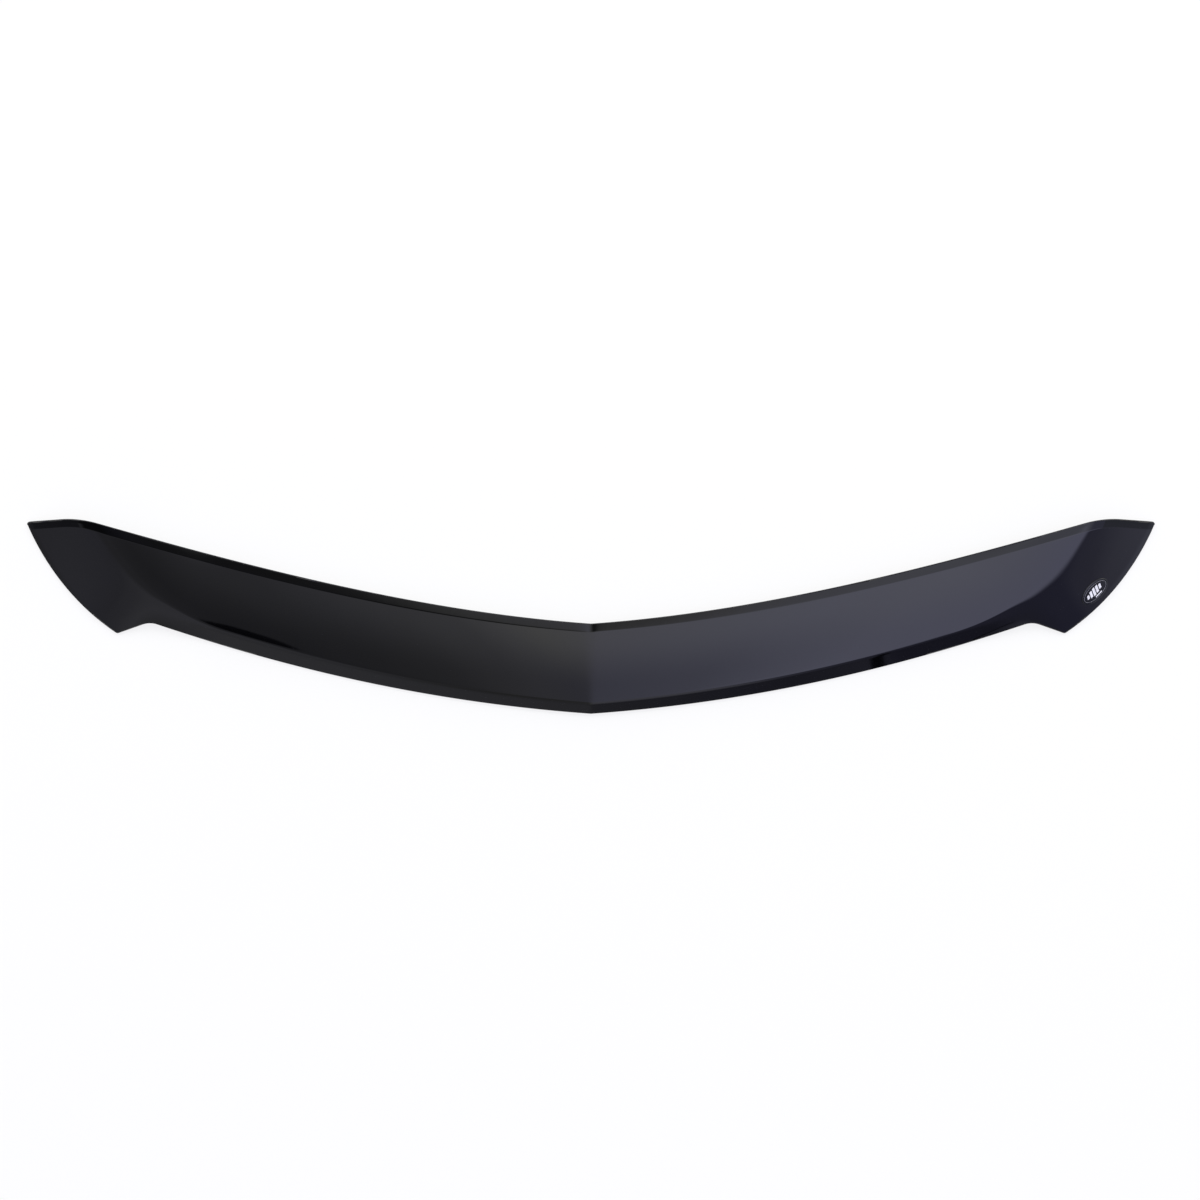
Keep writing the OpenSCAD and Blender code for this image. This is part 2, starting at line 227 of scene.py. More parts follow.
def rounded(d, w):
    """Zero before a fold and d beyond it, with a rounded start 2 w wide."""
    return np.where(d < -w, 0, np.where(d > w, d, (d + w) ** 2 / (4 * w)))


class Sheet:
    """The right half of the sheet as a grid of points, columns across the car."""

    # Columns along a wing, round the notch and shoulder, and round a corner of the lobe
    WING_N, ARC_N, CORNER_N = 170, 22, 3
    # Columns along the lobe's straight edges: up to the side bevel, across it and beyond
    FAR_N, NEAR_N, LAST_N = 9, 5, 5
    # Where the first of these end, short of the bevel, and half the stretch across it
    FAR_END, NEAR_HALF = 2 * MM, 1.2 * MM
    # Rows between the knots of a column, from its front edge to its rear edge
    ROWS = (2, 13, 12, 28, 6, 5, 2)
    # How late the crease leaves the lip, and the columns take up the outer edge's bow
    CREASE_POWER, BOW = 2.65, 6
    # The least that the face keeps, and the lip keeps past its tape
    FACE_LEAST, LIP_SPARE = 8 * MM, 1 * MM
    # How far the rows of a bevel line reach to each side, in widths of its rounding
    BEVEL_REACH = 1.5
    # A step for slopes, a share close to the rear edge, and rounds of each search
    STEP = 1 * MM
    NEAR_REAR = 0.9
    FOOT_ROUNDS, CROSSING_ROUNDS = 6, 30

    def __init__(self, outline, form, trim):
        self.outline, self.form, self.trim = outline, form, trim
        o, f = outline, form
        self.half_w = o.overall_w / 2
        self.lobe_x = self.half_w - o.lobe_w
        self.notch_x = self.lobe_x - o.notch_w
        self.shoulder_x = self.half_w - o.shoulder_w
        self.turn_x = self.half_w - f.turn_w
        self.reach = self.half_w - f.crease_end_w - self.turn_x
        self.make_outline()
        self.make_grid()

    def front_y(self, x):
        """The front edge of the wing."""
        o = self.outline
        return swept(x, self.notch_x, 0, o.notch_y, math.tan(o.nose_a), math.tan(o.front_end_a))

    def rear_y(self, x):
        """The rear edge of the wing."""
        o = self.outline
        rear_end = o.tip_y + o.shoulder_d
        return swept(
            x, self.shoulder_x, o.centre_d, rear_end, math.tan(o.nose_a), math.tan(o.rear_end_a)
        )

    def lobe_edge(self, start, end, a):
        """Columns along a straight edge of the lobe, closest at the side bevel."""
        whole = np.linalg.norm(end - start)
        bevel = self.form.side_bevel_w
        far = np.linspace(whole, bevel + self.FAR_END, self.FAR_N)[1:]
        near = bevel + np.linspace(1, -1, self.NEAR_N) * self.NEAR_HALF
        last = np.linspace(near[-1], 0, self.LAST_N)[1:-1]
        steps = np.concatenate([far, near, last])
        return end - steps[:, None] * heading(a)

    def make_outline(self):
        """Ends of the columns on the front and rear edges, and the arcs between them."""
        o = self.outline
        corner = np.array([self.lobe_x, o.lobe_y])
        tip = np.array([self.half_w, o.tip_y])
        notch = np.array([self.notch_x, o.notch_y])
        shoulder = np.array([self.shoulder_x, o.tip_y + o.shoulder_d])
        bottom_a = math.atan2(o.lobe_y - o.notch_y, o.notch_w)
        top_a = math.atan2(-o.shoulder_d, o.shoulder_w)
        chord = tip - corner
        chord_a = math.atan2(chord[1], chord[0])
        half_a = math.asin(np.linalg.norm(chord) / 2 / o.outer_r)
        a0, a1 = chord_a - half_a, chord_a + half_a
        self.corner_a0 = a0 - (a0 - bottom_a) / 2
        self.tip_a0 = a1

        notch_pts = round_corner(notch, o.front_end_a, bottom_a, o.notch_r, 1, self.ARC_N)
        shoulder_pts = round_corner(shoulder, o.rear_end_a, top_a, o.shoulder_r, 1, self.ARC_N)
        corner_pts = round_corner(corner, bottom_a, a0, o.corner_r, 0.5, self.CORNER_N)
        tip_pts = round_corner(tip, top_a, a1 - math.pi, o.tip_r, 0.5, self.CORNER_N)
        xf = np.linspace(0, notch_pts[0, 0], self.WING_N, endpoint=False)
        xr = np.linspace(0, shoulder_pts[0, 0], self.WING_N, endpoint=False)
        self.front = np.concatenate([
            np.stack([xf, self.front_y(xf)], axis=-1), notch_pts,
            self.lobe_edge(notch_pts[-1], corner_pts[0], bottom_a), corner_pts,
        ])
        self.rear = np.concatenate([
            np.stack([xr, self.rear_y(xr)], axis=-1), shoulder_pts,
            self.lobe_edge(shoulder_pts[-1], tip_pts[0], top_a), tip_pts,
        ])
        corner_turn = (a0 - bottom_a) / 2
        tip_turn = (top_a - a1 + math.pi) / 2
        self.outer_start = corner + o.corner_r * math.tan(corner_turn) * heading(a0)
        self.outer_end = tip - o.tip_r * math.tan(tip_turn) * heading(a1)
        outer_chord = np.linalg.norm(self.outer_end - self.outer_start)
        outer_turn = 2 * math.asin(outer_chord / 2 / o.outer_r)
        self.outer_head = chord_a - outer_turn / 2
        self.corner_len = o.corner_r * corner_turn
        self.outer_len = o.outer_r * outer_turn
        self.edge_len = self.corner_len + self.outer_len + o.tip_r * tip_turn

    def outer_at(self, s):
        """Point of the outer edge at a length from the middle of the lower corner."""
        o = self.outline
        s = np.asarray(s, dtype=float)
        far = self.corner_len + self.outer_len
        corner_a = self.corner_a0 + s / o.corner_r
        low = on_arc(self.front[-1], o.corner_r, self.corner_a0, corner_a)
        side = on_arc(
            self.outer_start, o.outer_r, self.outer_head,
            self.outer_head + (s - self.corner_len) / o.outer_r,
        )
        high = on_arc(self.outer_end, o.tip_r, self.tip_a0, self.tip_a0 + (s - far) / o.tip_r)
        return np.where((s < self.corner_len)[..., None], low,
                        np.where((s < far)[..., None], side, high))

    def plan(self, i, v):
        """Points of columns i at the shares v of the way from front to rear."""
        v = np.asarray(v, dtype=float)
        share = (self.front[i, 0] / self.front[-1, 0]) ** self.BOW
        straight = mix(self.front[i], self.rear[i], v[..., None])
        ends = mix(self.front[-1], self.rear[-1], v[..., None])
        return straight + share[..., None] * (self.outer_at(v * self.edge_len) - ends)

    def crease_y(self, x):
        """The crease: behind the lip first, then back across the wing."""
        f = self.form
        turned = np.maximum(0, x - self.turn_x) / self.reach
        lip = f.lip_w + f.lip_grow * x / self.turn_x
        return self.front_y(x) + lip + f.crease_rise * turned**self.CREASE_POWER

    def foot(self, p):
        """Where on the crease the point p is nearest to it."""
        x = p[..., 0].copy()
        h = self.STEP
        for _ in range(self.FOOT_ROUNDS):
            over = self.crease_y(x) - p[..., 1]
            slope = (self.crease_y(x + h) - self.crease_y(x - h)) / (2 * h)
            bend = (self.crease_y(x + h) - 2 * self.crease_y(x) + self.crease_y(x - h)) / h**2
            x = x - (x - p[..., 0] + over * slope) / (1 + slope**2 + over * bend)
        return x

    def fold(self, x):
        """Slope at which the sheet falls beyond the crease."""
        f = self.form
        lip, lobe, tip = math.tan(f.lip_a), math.tan(f.lobe_a), math.tan(f.tip_a)
        to_lobe = ease((x - self.turn_x) / (f.turn_w - f.lobe_start_w))
        to_tip = ease((x - self.half_w + f.tip_start_w) / (f.tip_start_w - f.tip_end_w))
        return lobe + (lip - lobe) * (1 - to_lobe) + (tip - lobe) * to_tip

    def blend(self, x):
        """Half the width of the rounding along the crease."""
        to_lobe = ease((x - self.turn_x) / self.reach)
        return mix(self.form.crease_blend, self.form.lobe_blend, to_lobe)

    def height(self, p):
        """Height of the outer face over the plan, without its bevels."""
        f = self.form
        x = self.foot(p)
        crease = np.stack([x, self.crease_y(x)], axis=-1)
        side = np.sign(self.crease_y(p[..., 0]) - p[..., 1])
        over = np.linalg.norm(p - crease, axis=-1) * side
        behind, beyond = np.maximum(0, -over), np.maximum(0, over)
        soft = mix(f.ridge_nose, f.ridge_rear, np.clip(p[..., 1] / self.outline.centre_d, 0, 1))
        from_ridge = np.sqrt(p[..., 0] ** 2 + soft**2) - soft
        return (
            math.tan(f.face_a) * p[..., 1]
            - math.tan(f.ridge_a) * from_ridge
            - f.crown_h * (p[..., 0] / self.half_w) ** 2
            - behind**2 / (2 * f.face_r)
            - self.fold(x) * rounded(over, self.blend(x))
            - beyond**2 / (2 * f.lobe_r)
        )

    def crossing(self, i):
        """Share of each column at which it crosses the crease."""
        lo, hi = np.zeros(len(i)), np.ones(len(i))
        for _ in range(self.CROSSING_ROUNDS):
            mid = (lo + hi) / 2
            p = self.plan(i, mid)
            before = self.crease_y(p[:, 0]) > p[:, 1]
            lo, hi = np.where(before, mid, lo), np.where(before, hi, mid)
        return lo

    def surface(self, i, v):
        """Points of the outer face on columns i at the shares v, bevels and all."""
        f = self.form
        p = self.plan(i, v)
        to_rear = (1 - v) * self.spans[i] * self.square[i]
        to_side = np.linalg.norm(self.outer_at(v * self.edge_len) - p, axis=-1)
        rear_fall = math.tan(f.bevel_a) * rounded(f.bevel_w - to_rear, f.bevel_blend)
        side_fall = math.tan(f.side_bevel_a) * rounded(f.side_bevel_w - to_side, f.bevel_blend)
        z = self.height(p) - rear_fall - side_fall * ease(2 * v)
        return np.concatenate([p, z[..., None]], axis=-1)

    def make_grid(self):
        """Lays the rows on the columns, closest at the creases, and finds the heights."""
        f, t = self.form, self.trim
        i = np.arange(len(self.front))
        spans = np.linalg.norm(self.rear - self.front, axis=1)
        along = unit(np.gradient(self.rear, axis=0))
        zeros, ones = np.zeros(len(i)), np.ones(len(i))
        across = unit(self.plan(i, ones) - self.plan(i, self.NEAR_REAR * ones))
        square = np.abs(along[:, 0] * across[:, 1] - along[:, 1] * across[:, 0])
        # The ridge meets the rear edge squarely, whatever its one neighbour says
        square[0] = 1
        edge = t.tape_inset / spans
        bevel = 1 - f.bevel_w / spans / square
        soft = self.BEVEL_REACH * f.bevel_blend / spans
        half = self.blend(self.plan(i, ones / 2)[:, 0]) / spans
        least = edge + t.lip_tape_w / spans + half + self.LIP_SPARE / spans
        most = bevel - half - self.FACE_LEAST / spans
        crease = np.clip(self.crossing(i), least, most)
        knots = [
            zeros, edge, crease - half, crease + half,
            bevel - soft, bevel + soft, 1 - edge, ones,
        ]
        rows = [zeros[:, None]]
        for a, b, n in zip(knots, knots[1:], self.ROWS):
            rows.append(mix(a[:, None], b[:, None], np.linspace(0, 1, n + 1)[None, 1:]))
        v = np.concatenate(rows, axis=1)
        self.bevel_v, self.edge_v = bevel, edge
        self.spans, self.square = spans, square
        self.top = self.surface(np.repeat(i[:, None], v.shape[1], axis=1), v)


def mirrored(grid):
    """The whole width of a grid whose first column lies on the centre line."""
    return np.concatenate([flipped(grid)[:-1], grid])


def flipped(grid):
    """The left half that goes with a grid of the right half."""
    return grid[::-1] * np.array([-1, 1, 1])


def bisector(points):
    """Direction of a line of points, halfway between the stretches that meet at each."""
    steps = unit(np.diff(points, axis=0))
    before = np.concatenate([steps[:1], steps])
    after = np.concatenate([steps, steps[-1:]])
    return before + after


def normals_of(grid, centred=False):
    """Directions square to a grid; its first column may lie on the centre line."""
    along = bisector(grid)
    if centred:
        along[0] = [1, 0, 0]
    across = bisector(grid.swapaxes(0, 1)).swapaxes(0, 1)
    return unit(np.cross(along, across))


def rim_of(n, m):
    """Indices of the border of a grid of n by m points, anticlockwise from above."""
    front = [(i, 0) for i in range(n)]
    right = [(n - 1, j) for j in range(1, m)]
    rear = [(i, m - 1) for i in range(n - 2, -1, -1)]
    left = [(0, j) for j in range(m - 2, 0, -1)]
    return np.array(front + right + rear + left)


def numbered(rings):
    """Numbers of the points in a list of rings, one row for each ring."""
    return np.arange(len(rings) * len(rings[0])).reshape(len(rings), -1)


def bands_between(loops):
    """Faces that join each closed loop of points to the next one."""
    after = np.roll(loops, -1, axis=1)
    return np.stack([loops[:-1], loops[1:], after[1:], after[:-1]], axis=-1).reshape(-1, 4)


def solid_mesh(name, upper, lower, r, steps=4):
    """A closed solid between two grids of points, with its edges rounded to r."""
    upper, lower = upper.copy(), lower.copy()
    n, m = upper.shape[:2]
    rim = rim_of(n, m)
    p, q = upper[rim[:, 0], rim[:, 1]], lower[rim[:, 0], rim[:, 1]]
    up = unit(p - q)
    tangent = unit(np.roll(p, -1, axis=0) - p) + unit(p - np.roll(p, 1, axis=0))
    out = unit(np.cross(tangent, up))
    turns = np.linspace(0, math.pi / 2, steps + 1)
    rings = [p - r * out - r * up + r * (math.cos(a) * up + math.sin(a) * out) for a in turns]
    rings += [
        q - r * out + r * up + r * (math.sin(a) * out - math.cos(a) * up) for a in turns[::-1]
    ]
    upper[rim[:, 0], rim[:, 1]] = rings[0]
    lower[rim[:, 0], rim[:, 1]] = rings[-1]

    count = n * m
    face = np.arange(count).reshape(n, m)
    quads = np.stack([face[:-1, :-1], face[1:, :-1], face[1:, 1:], face[:-1, 1:]], axis=-1)
    quads = quads.reshape(-1, 4)
    around = len(rim)
    inner = 2 * count + np.arange((len(rings) - 2) * around).reshape(-1, around)
    first = rim[:, 0] * m + rim[:, 1]
    side = bands_between(np.concatenate([first[None], inner, first[None] + count]))
    points = np.concatenate([upper.reshape(-1, 3), lower.reshape(-1, 3), *rings[1:-1]])
    return new_piece(name, points, [quads, quads[:, ::-1] + count, side])


def new_piece(name, points, groups):
    """An object at the origin, with its place in its mesh and smooth shading."""
    mesh = bpy.data.meshes.new(name)
    faces = [tuple(int(k) for k in f) for group in groups for f in group]
    mesh.from_pydata(points.tolist(), [], faces)
    mesh.validate()
    mesh.shade_smooth()
    piece = bpy.data.objects.new(name, mesh)
    bpy.context.scene.collection.objects.link(piece)
    return piece


def rgba(value):
    """A colour with the fourth value that a socket wants."""
    return (*value, 1)


class Tree:
    """Short words for adding nodes to a node tree and joining them."""

    def __init__(self, tree):
        self.tree = tree

    def add(self, kind, **settings):
        """A new node, with its settings."""
        node = self.tree.nodes.new(kind)
        for key, value in settings.items():
            setattr(node, key, value)
        return node

    def feed(self, socket, value):
        """Joins a socket to an output, or gives it a plain value."""
        if isinstance(value, bpy.types.NodeSocket):
            self.tree.links.new(value, socket)
        else:
            socket.default_value = value

    def math(self, operation, *values):
        """The result of one sum on sockets or plain values."""
        node = self.add("ShaderNodeMath", operation=operation)
        for socket, value in zip(node.inputs, values):
            self.feed(socket, value)
        return node.outputs[0]

    def ramp(self, value, start, end, low=0.0, high=1.0, kind="SMOOTHSTEP"):
        """Runs from low to high as the value goes from start to end."""
        node = self.add("ShaderNodeMapRange", interpolation_type=kind)
        for name, given in (
            ("Value", value), ("From Min", start), ("From Max", end),
            ("To Min", low), ("To Max", high),
        ):
            self.feed(node.inputs[name], given)
        return node.outputs["Result"]

    def stops(self, share, colours):
        """A colour that runs through stops. Each is a place with one grey, with one
        value for red and green and one for blue, or with all three."""
        node = self.add("ShaderNodeValToRGB")
        self.feed(node.inputs["Fac"], share)
        ramp = node.color_ramp
        while len(ramp.elements) < len(colours):
            ramp.elements.new(1.0)
        for element, (place, *colour) in zip(ramp.elements, colours):
            element.position = place
            green = colour[(len(colour) - 1) // 2]
            element.color = rgba((colour[0], green, colour[-1]))
        return node.outputs["Color"]

    def mix(self, share, a, b):
        """The colour at a share of the way from a to b."""
        node = self.add("ShaderNodeMix", data_type="RGBA")
        self.feed(node.inputs["Factor"], share)
        self.feed(node.inputs[6], a)
        self.feed(node.inputs[7], b)
        return node.outputs[2]

    def blend(self, share, a, b, surface):
        """Feeds a surface the blend of two shaders, at a share of the way from a to b."""
        node = self.add("ShaderNodeMixShader")
        for socket, value in zip(node.inputs, (share, a, b)):
            self.feed(socket, value)
        self.feed(surface, node.outputs[0])


def new_material(name):
    """A material, with words for its nodes, its shader and the surface it feeds."""
    material = bpy.data.materials.new(name)
    material.use_nodes = True
    nodes = material.node_tree.nodes
    surface = nodes["Material Output"].inputs["Surface"]
    return material, Tree(material.node_tree), nodes["Principled BSDF"], surface


# The noise behind the clouds and the skin, and how far the finishes stray in the clouds
CLOUD_LOW, CLOUD_HIGH = 0.35, 0.65
CLOUD_DETAIL, SKIN_DETAIL = 2.0, 3.0
GLOSS_SPREAD, PRINT_SHADE, FOAM_TINT = 1.6, 0.93, 1.4


def grain_group():
    """Soft clouds of tint and polish, with a fine skin, as on moulded plastic or foam."""
    name = "moulded_grain"
    if name in bpy.data.node_groups:
        return bpy.data.node_groups[name]
    group = bpy.data.node_groups.new(name, "ShaderNodeTree")
    for text, kind, default in (
        ("Base", "NodeSocketColor", (0.01, 0.01, 0.01, 1)),
        ("Cloud", "NodeSocketColor", (0.02, 0.02, 0.02, 1)),
        ("Cloud scale", "NodeSocketFloat", 6.0),
        ("Skin scale", "NodeSocketFloat", 150.0),
        ("Roughness low", "NodeSocketFloat", 0.03),
        ("Roughness high", "NodeSocketFloat", 0.06),
    ):
        socket = group.interface.new_socket(text, in_out="INPUT", socket_type=kind)
        socket.default_value = default
    for text, kind in (
        ("Color", "NodeSocketColor"), ("Roughness", "NodeSocketFloat"),
        ("Height", "NodeSocketFloat"),
    ):
        group.interface.new_socket(text, in_out="OUTPUT", socket_type=kind)
    t = Tree(group)
    given = t.add("NodeGroupInput").outputs
    place = t.add("ShaderNodeTexCoord").outputs["Object"]
    noises = []
    for scale, detail in (
        (given["Cloud scale"], CLOUD_DETAIL), (given["Skin scale"], SKIN_DETAIL),
    ):
        noise = t.add("ShaderNodeTexNoise")
        t.feed(noise.inputs["Vector"], place)
        t.feed(noise.inputs["Scale"], scale)
        t.feed(noise.inputs["Detail"], detail)
        noises.append(noise.outputs["Fac"])
    clouds, skin = noises
    share = t.ramp(clouds, CLOUD_LOW, CLOUD_HIGH)
    out = t.add("NodeGroupOutput").inputs
    t.feed(out["Color"], t.mix(share, given["Base"], given["Cloud"]))
    low, high = given["Roughness low"], given["Roughness high"]
    t.feed(out["Roughness"], t.ramp(share, 0.0, 1.0, low, high, "LINEAR"))
    t.feed(out["Height"], skin)
    return group


def grained(name, grain, relief, **surface):
    """A Principled material whose colour, polish and relief come from the grain."""
    material, t, shader, _ = new_material(name)
    group = t.add("ShaderNodeGroup", node_tree=grain_group())
    for key, value in grain.items():
        group.inputs[key].default_value = value
    t.feed(shader.inputs["Base Color"], group.outputs["Color"])
    t.feed(shader.inputs["Roughness"], group.outputs["Roughness"])
    bump = t.add("ShaderNodeBump")
    bump.inputs["Strength"].default_value = 1.0
    bump.inputs["Distance"].default_value = relief
    t.feed(bump.inputs["Height"], group.outputs["Height"])
    t.feed(shader.inputs["Normal"], bump.outputs["Normal"])
    for key, value in surface.items():
        shader.inputs[key.replace("_", " ")].default_value = value
    return material


def acrylic_material(finish):
    """Polished smoked acrylic, with a faint unevenness from forming."""
    grain = {
        "Base": rgba(finish.smoke), "Cloud": rgba(finish.haze), "Cloud scale": 7.0,
        "Skin scale": 45.0, "Roughness low": finish.gloss,
        "Roughness high": finish.gloss * GLOSS_SPREAD,
    }
    return grained("smoked_acrylic", grain, relief=0.01 * MM, IOR=1.49)


def badge_material(finish):
    """Glossy black plastic of the badge."""
    grain = {
        "Base": rgba(finish.badge_black), "Cloud": rgba(finish.badge_black),
        "Cloud scale": 40.0, "Skin scale": 400.0, "Roughness low": 0.08, "Roughness high": 0.14,
    }
    return grained("badge_black", grain, relief=0.005 * MM, IOR=1.5)


def print_material(name, ink):
    """Raised print on the badge, in one ink."""
    grain = {
        "Base": rgba(ink), "Cloud": rgba([c * PRINT_SHADE for c in ink]),
        "Cloud scale": 120.0, "Skin scale": 900.0,
        "Roughness low": 0.25, "Roughness high": 0.35,
    }
    return grained(name, grain, relief=0.005 * MM)


def foam_material(finish):
    """Closed-cell foam tape, dull and finely pitted."""
    foam = finish.foam
    grain = {
        "Base": rgba(foam), "Cloud": rgba([c * FOAM_TINT for c in foam]),
        "Cloud scale": 90.0, "Skin scale": 1600.0,
        "Roughness low": 0.75, "Roughness high": 0.95,
    }
    return grained("foam_tape", grain, relief=0.12 * MM)


def sheet_of(context):
    """The formed sheet, with its normals and its place on the ground worked out."""
    scene = context.scene
    sheet = Sheet(scene.hood_outline, scene.hood_form, scene.hood_trim)
    sheet.normals = normals_of(sheet.top, centred=True)
    lower = sheet.top - scene.hood_form.sheet_t * sheet.normals
    both = np.concatenate([sheet.top.reshape(-1, 3), lower.reshape(-1, 3)])
    foremost, rearmost = both[:, 1].min(), both[:, 1].max()
    sheet.seat = np.array([0, -(foremost + rearmost) / 2, -both[:, 2].min()])
    return sheet


def finish_piece(piece, material, slot, *nodes):
    """Gives a piece its material, lets it ride on the part and stand for CAD nodes."""
    piece.data.materials.append(material)
    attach(piece, "root")
    if nodes:
        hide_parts(*nodes)
    return piece


class HOOD_OT_shield(bpy.types.Operator):
    """Makes the formed acrylic sheet"""

    bl_idname = "hood.shield"
    bl_label = "Make the shield"

    def execute(self, context):
        form = context.scene.hood_form
        sheet = sheet_of(context)
        upper = sheet.top + sheet.seat
        lower = upper - form.sheet_t * sheet.normals
        piece = solid_mesh("shield_sheet", mirrored(upper), mirrored(lower), form.edge_r)
        material = acrylic_material(context.scene.hood_finish)
        finish_piece(piece, material, "smoked_acrylic", "shield")
        return {"FINISHED"}


class HOOD_OT_tape(bpy.types.Operator):
    """Makes the strips of foam tape behind the edges of the sheet"""

    bl_idname = "hood.tape"
    bl_label = "Make the tape"

    ROWS = 6
    EDGE_R, EDGE_STEPS = 0.25 * MM, 2
    # The lobe's front edge is slanted, so its strip takes in columns this much further in
    LOBE_SPARE = 6 * MM

    @staticmethod
    def columns_in(node, x):
        """Columns whose places across the car lie within a node of the frame."""
        low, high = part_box(node)
        return np.flatnonzero((x >= low.x) & (x <= high.x))

    def strip(self, sheet, name, columns, v0, v1):
        """A right-hand and a left-hand strip under the columns, between two shares."""
        form, trim = sheet.form, sheet.trim
        share = np.linspace(0, 1, self.ROWS)
        v = mix(v0[columns][:, None], v1[columns][:, None], share[None])
        cols = np.repeat(columns[:, None], self.ROWS, axis=1)
        p = sheet.surface(cols, v)
        normals = normals_of(p)
        upper = p - (form.sheet_t + trim.tape_gap) * normals + sheet.seat
        lower = upper - trim.tape_t * normals
        made = []
        for side, face, back in (
            ("right", upper, lower), ("left", flipped(upper), flipped(lower)),
        ):
            piece = solid_mesh(f"{name}_{side}_foam", face, back, self.EDGE_R, self.EDGE_STEPS)
            made.append((piece, f"{name}_{side}"))
        return made

    def execute(self, context):
        sheet = sheet_of(context)
        trim, edge, bevel = sheet.trim, sheet.edge_v, sheet.bevel_v
        lip_end = edge + trim.lip_tape_w / sheet.spans
        rear = self.columns_in("tape_rear_right", sheet.rear[:, 0])
        made = self.strip(sheet, "tape_rear", rear, bevel, 1 - edge)
        lip = self.columns_in("tape_lip_right", sheet.front[:, 0])
        made += self.strip(sheet, "tape_lip", lip, edge, lip_end)
        inset = np.abs(sheet.front[-1, 0] - sheet.front[:, 0])
        near = sheet.form.side_bevel_w
        far = near + trim.lobe_tape_w + self.LOBE_SPARE
        lobe = np.flatnonzero((inset >= near) & (inset <= far))
        made += self.strip(sheet, "tape_lobe", lobe, lip_end, bevel - 2 * edge)
        material = foam_material(context.scene.hood_finish)
        for piece, node in made:
            finish_piece(piece, material, "foam_tape", node)
        return {"FINISHED"}


class BadgeSeat:
    """Places points over the right lobe, along and across the badge."""

    AROUND = 96
    STEP = 1 * MM

    def __init__(self, sheet):
        trim = sheet.trim
        along = trim.badge_along
        self.sheet = sheet
        self.half_l, self.half_h = trim.badge_l / 2, trim.badge_h / 2
        turn = sheet.outer_head + (along - sheet.corner_len) / sheet.outline.outer_r
        self.right, self.out = heading(turn), heading(turn + math.pi / 2)
        self.middle = sheet.outer_at(along) + (trim.badge_in + self.half_h) * self.out
        sides = self.middle + self.STEP * np.array([(1, 0), (-1, 0), (0, 1), (0, -1)])
        e, w, n, s = self.on_lobe(sides)
        self.up = unit(np.cross(e - w, n - s))

    def on_lobe(self, p):
        """Points of the plan, lifted to the outer face."""
        return np.concatenate([p, self.sheet.height(p)[..., None]], axis=-1)

    def at(self, a, b, rise):
        """Points at a along and b across the badge, raised above the lobe."""
        p = self.middle + a[..., None] * self.right + b[..., None] * self.out
        return self.on_lobe(p) + rise * self.up + self.sheet.seat

    def oval(self, share, inset, rise):
        """A ring of points at a share of the badge's oval, once that is drawn in."""
        turns = np.linspace(0, 2 * math.pi, self.AROUND, endpoint=False)
        a = share * (self.half_l - inset) * np.cos(turns)
        b = share * (self.half_h - inset) * np.sin(turns)
        return self.at(a, b, rise)


